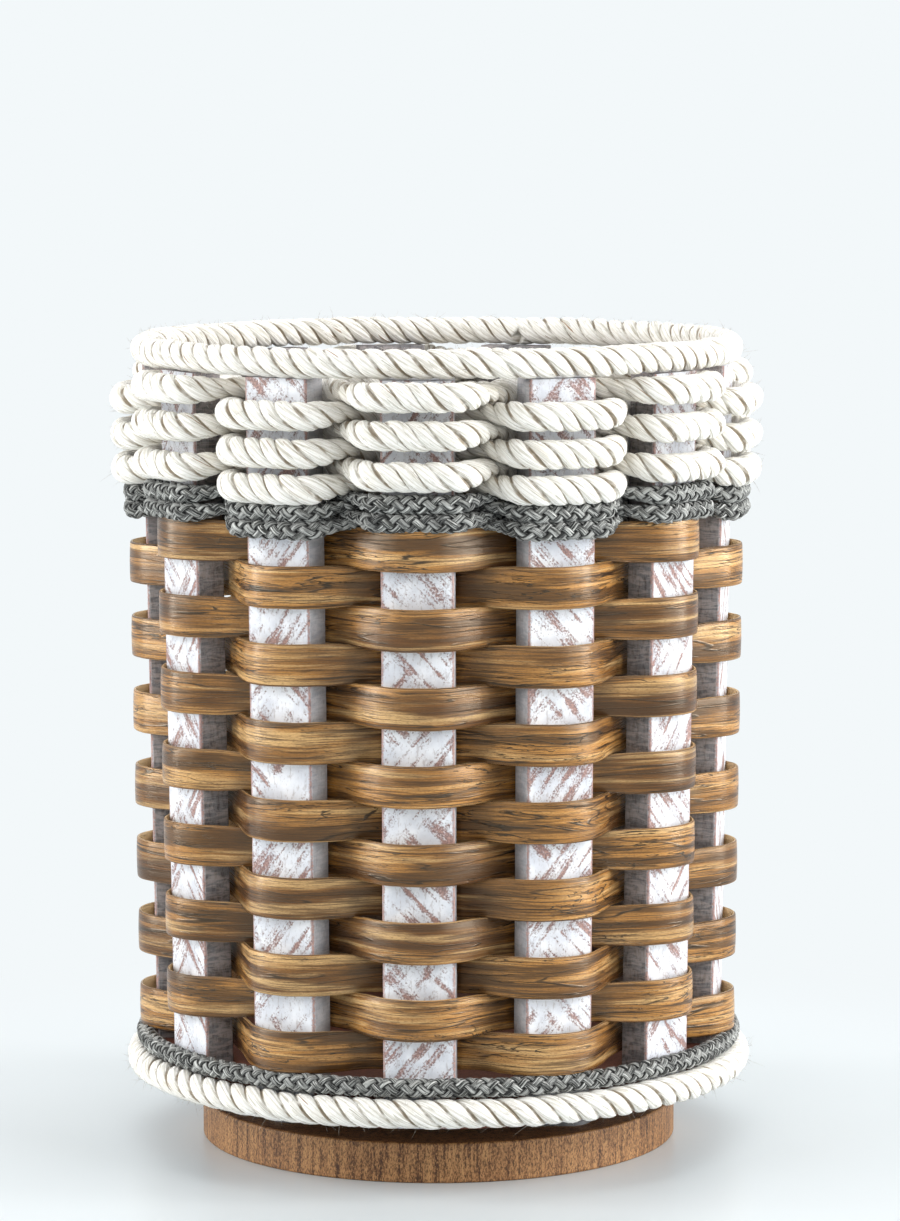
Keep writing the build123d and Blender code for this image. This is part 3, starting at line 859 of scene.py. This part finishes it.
def photo_camera():
    """Camera of the photo: distance, height, pitch and focal length fitted to the disc, rim and slats."""
    distance, height = 1460 * mm, 340 * mm
    round_angle = math.radians(3.7)
    pitch, yaw, roll = math.radians(6.68), math.radians(0.16), math.radians(0.13)
    focal_pixels, photo_height = 4586, 1221
    sensor = 36
    camera = bpy.data.cameras.new("photo_camera")
    camera.sensor_fit = "VERTICAL"
    camera.sensor_height = sensor
    camera.sensor_width = sensor
    camera.lens = sensor * focal_pixels / photo_height
    camera.clip_start = 0.05
    holder = bpy.data.objects.new("photo_camera", camera)
    place = Matrix.Rotation(round_angle, 4, "Z") @ Matrix.Translation((0, -distance, height))
    tilt = Matrix.Rotation(math.pi / 2 - pitch, 4, "X")
    turn = Matrix.Rotation(-yaw, 4, "Z") @ tilt @ Matrix.Rotation(-roll, 4, "Z")
    holder.matrix_world = place @ turn
    bpy.context.collection.objects.link(holder)
    bpy.context.scene.camera = holder


# Finishes
rope = rope_finish()
cord = cord_finish()
reed = reed_finish()
whitewash = whitewash_finish()
steel = steel_finish()
red_wood = turned_wood_finish("turntable_wood", rgb(42, 23, 11), rgb(114, 72, 41), rgb(182, 136, 88))
floor_wood = turned_wood_finish("floor_wood", rgb(70, 36, 28), rgb(96, 54, 42), rgb(112, 66, 50))

# Woven rope and cord, in pieces of a few strands
rope_centre, rope_squeeze = woven_centre(
    rope_diameter, rope_float_rises, rope_crossing_foot, rope_crossing_pitch, rope_bend, woven_rope_step)
cord_centre, cord_squeeze = woven_centre(
    cord_diameter, cord_float_rises, cord_crossing_foot, cord_crossing_pitch, cord_bend, woven_cord_step)
twisted_rope("rope_woven", rope_centre, rope_squeeze, woven_rope_lay, rope, ["rope_weave"], strands_each=1)
rope_fuzz("rope_woven_fuzz", rope_centre, rope_squeeze, rope, woven_fibres)
braided_cord("cord_woven", cord_centre, cord_squeeze, cord, ["cord_weave"], strands_each=2)

# Rope and cord laid round the rim and the foot, which nothing squeezes
for node in ("rim_rope", "foot_rope"):
    centre = hoop_centre(node, rope_diameter, laid_rope_step)
    no_squeeze = np.zeros(len(centre))
    twisted_rope(f"{node}_laid", centre, no_squeeze, laid_rope_lay, rope, [node])
    rope_fuzz(f"{node}_fuzz", centre, no_squeeze, rope, laid_fibres)
centre = hoop_centre("foot_cord", cord_diameter, laid_cord_step)
braided_cord("foot_cord_laid", centre, np.zeros(len(centre)), cord, ["foot_cord"])

for row in range(reed_rows):
    reed_band(row, reed)
for index in range(stake_count):
    slat(index, whitewash)

# CAD nodes that stay in view
paint_node("turntable_base", red_wood)
paint_node("base_board", floor_wood)
for name in ("bearing_lower_plate", "bearing_upper_plate", "bearing_balls", "ball_cage", "base_screws",
             "basket_screws", "stake_brads"):
    paint_node(name, steel)

studio_floor()
studio_world()
area_light("left", (-1.45, -0.55, 0.7), (0, 0, 0.13), size=(1.2, 1.3), power=19)
area_light("left_strip", (-1.3, 0.0, 0.3), (0, 0, 0.15), size=(0.3, 1.2), power=9)
area_light("right", (1.45, -0.55, 0.7), (0, 0, 0.13), size=(1.2, 1.3), power=23)
area_light("right_strip", (1.3, 0.0, 0.3), (0, 0, 0.15), size=(0.3, 1.2), power=13)
area_light("front", (0, -1.9, 1.3), (0, 0, 0.1), size=(1.6, 1.0), power=9)
area_light("top", (0, 0.5, 1.6), (0, 0, 0), size=(1.6, 1.0), power=13)
photo_camera()
bpy.context.scene.view_settings.view_transform = "Standard"
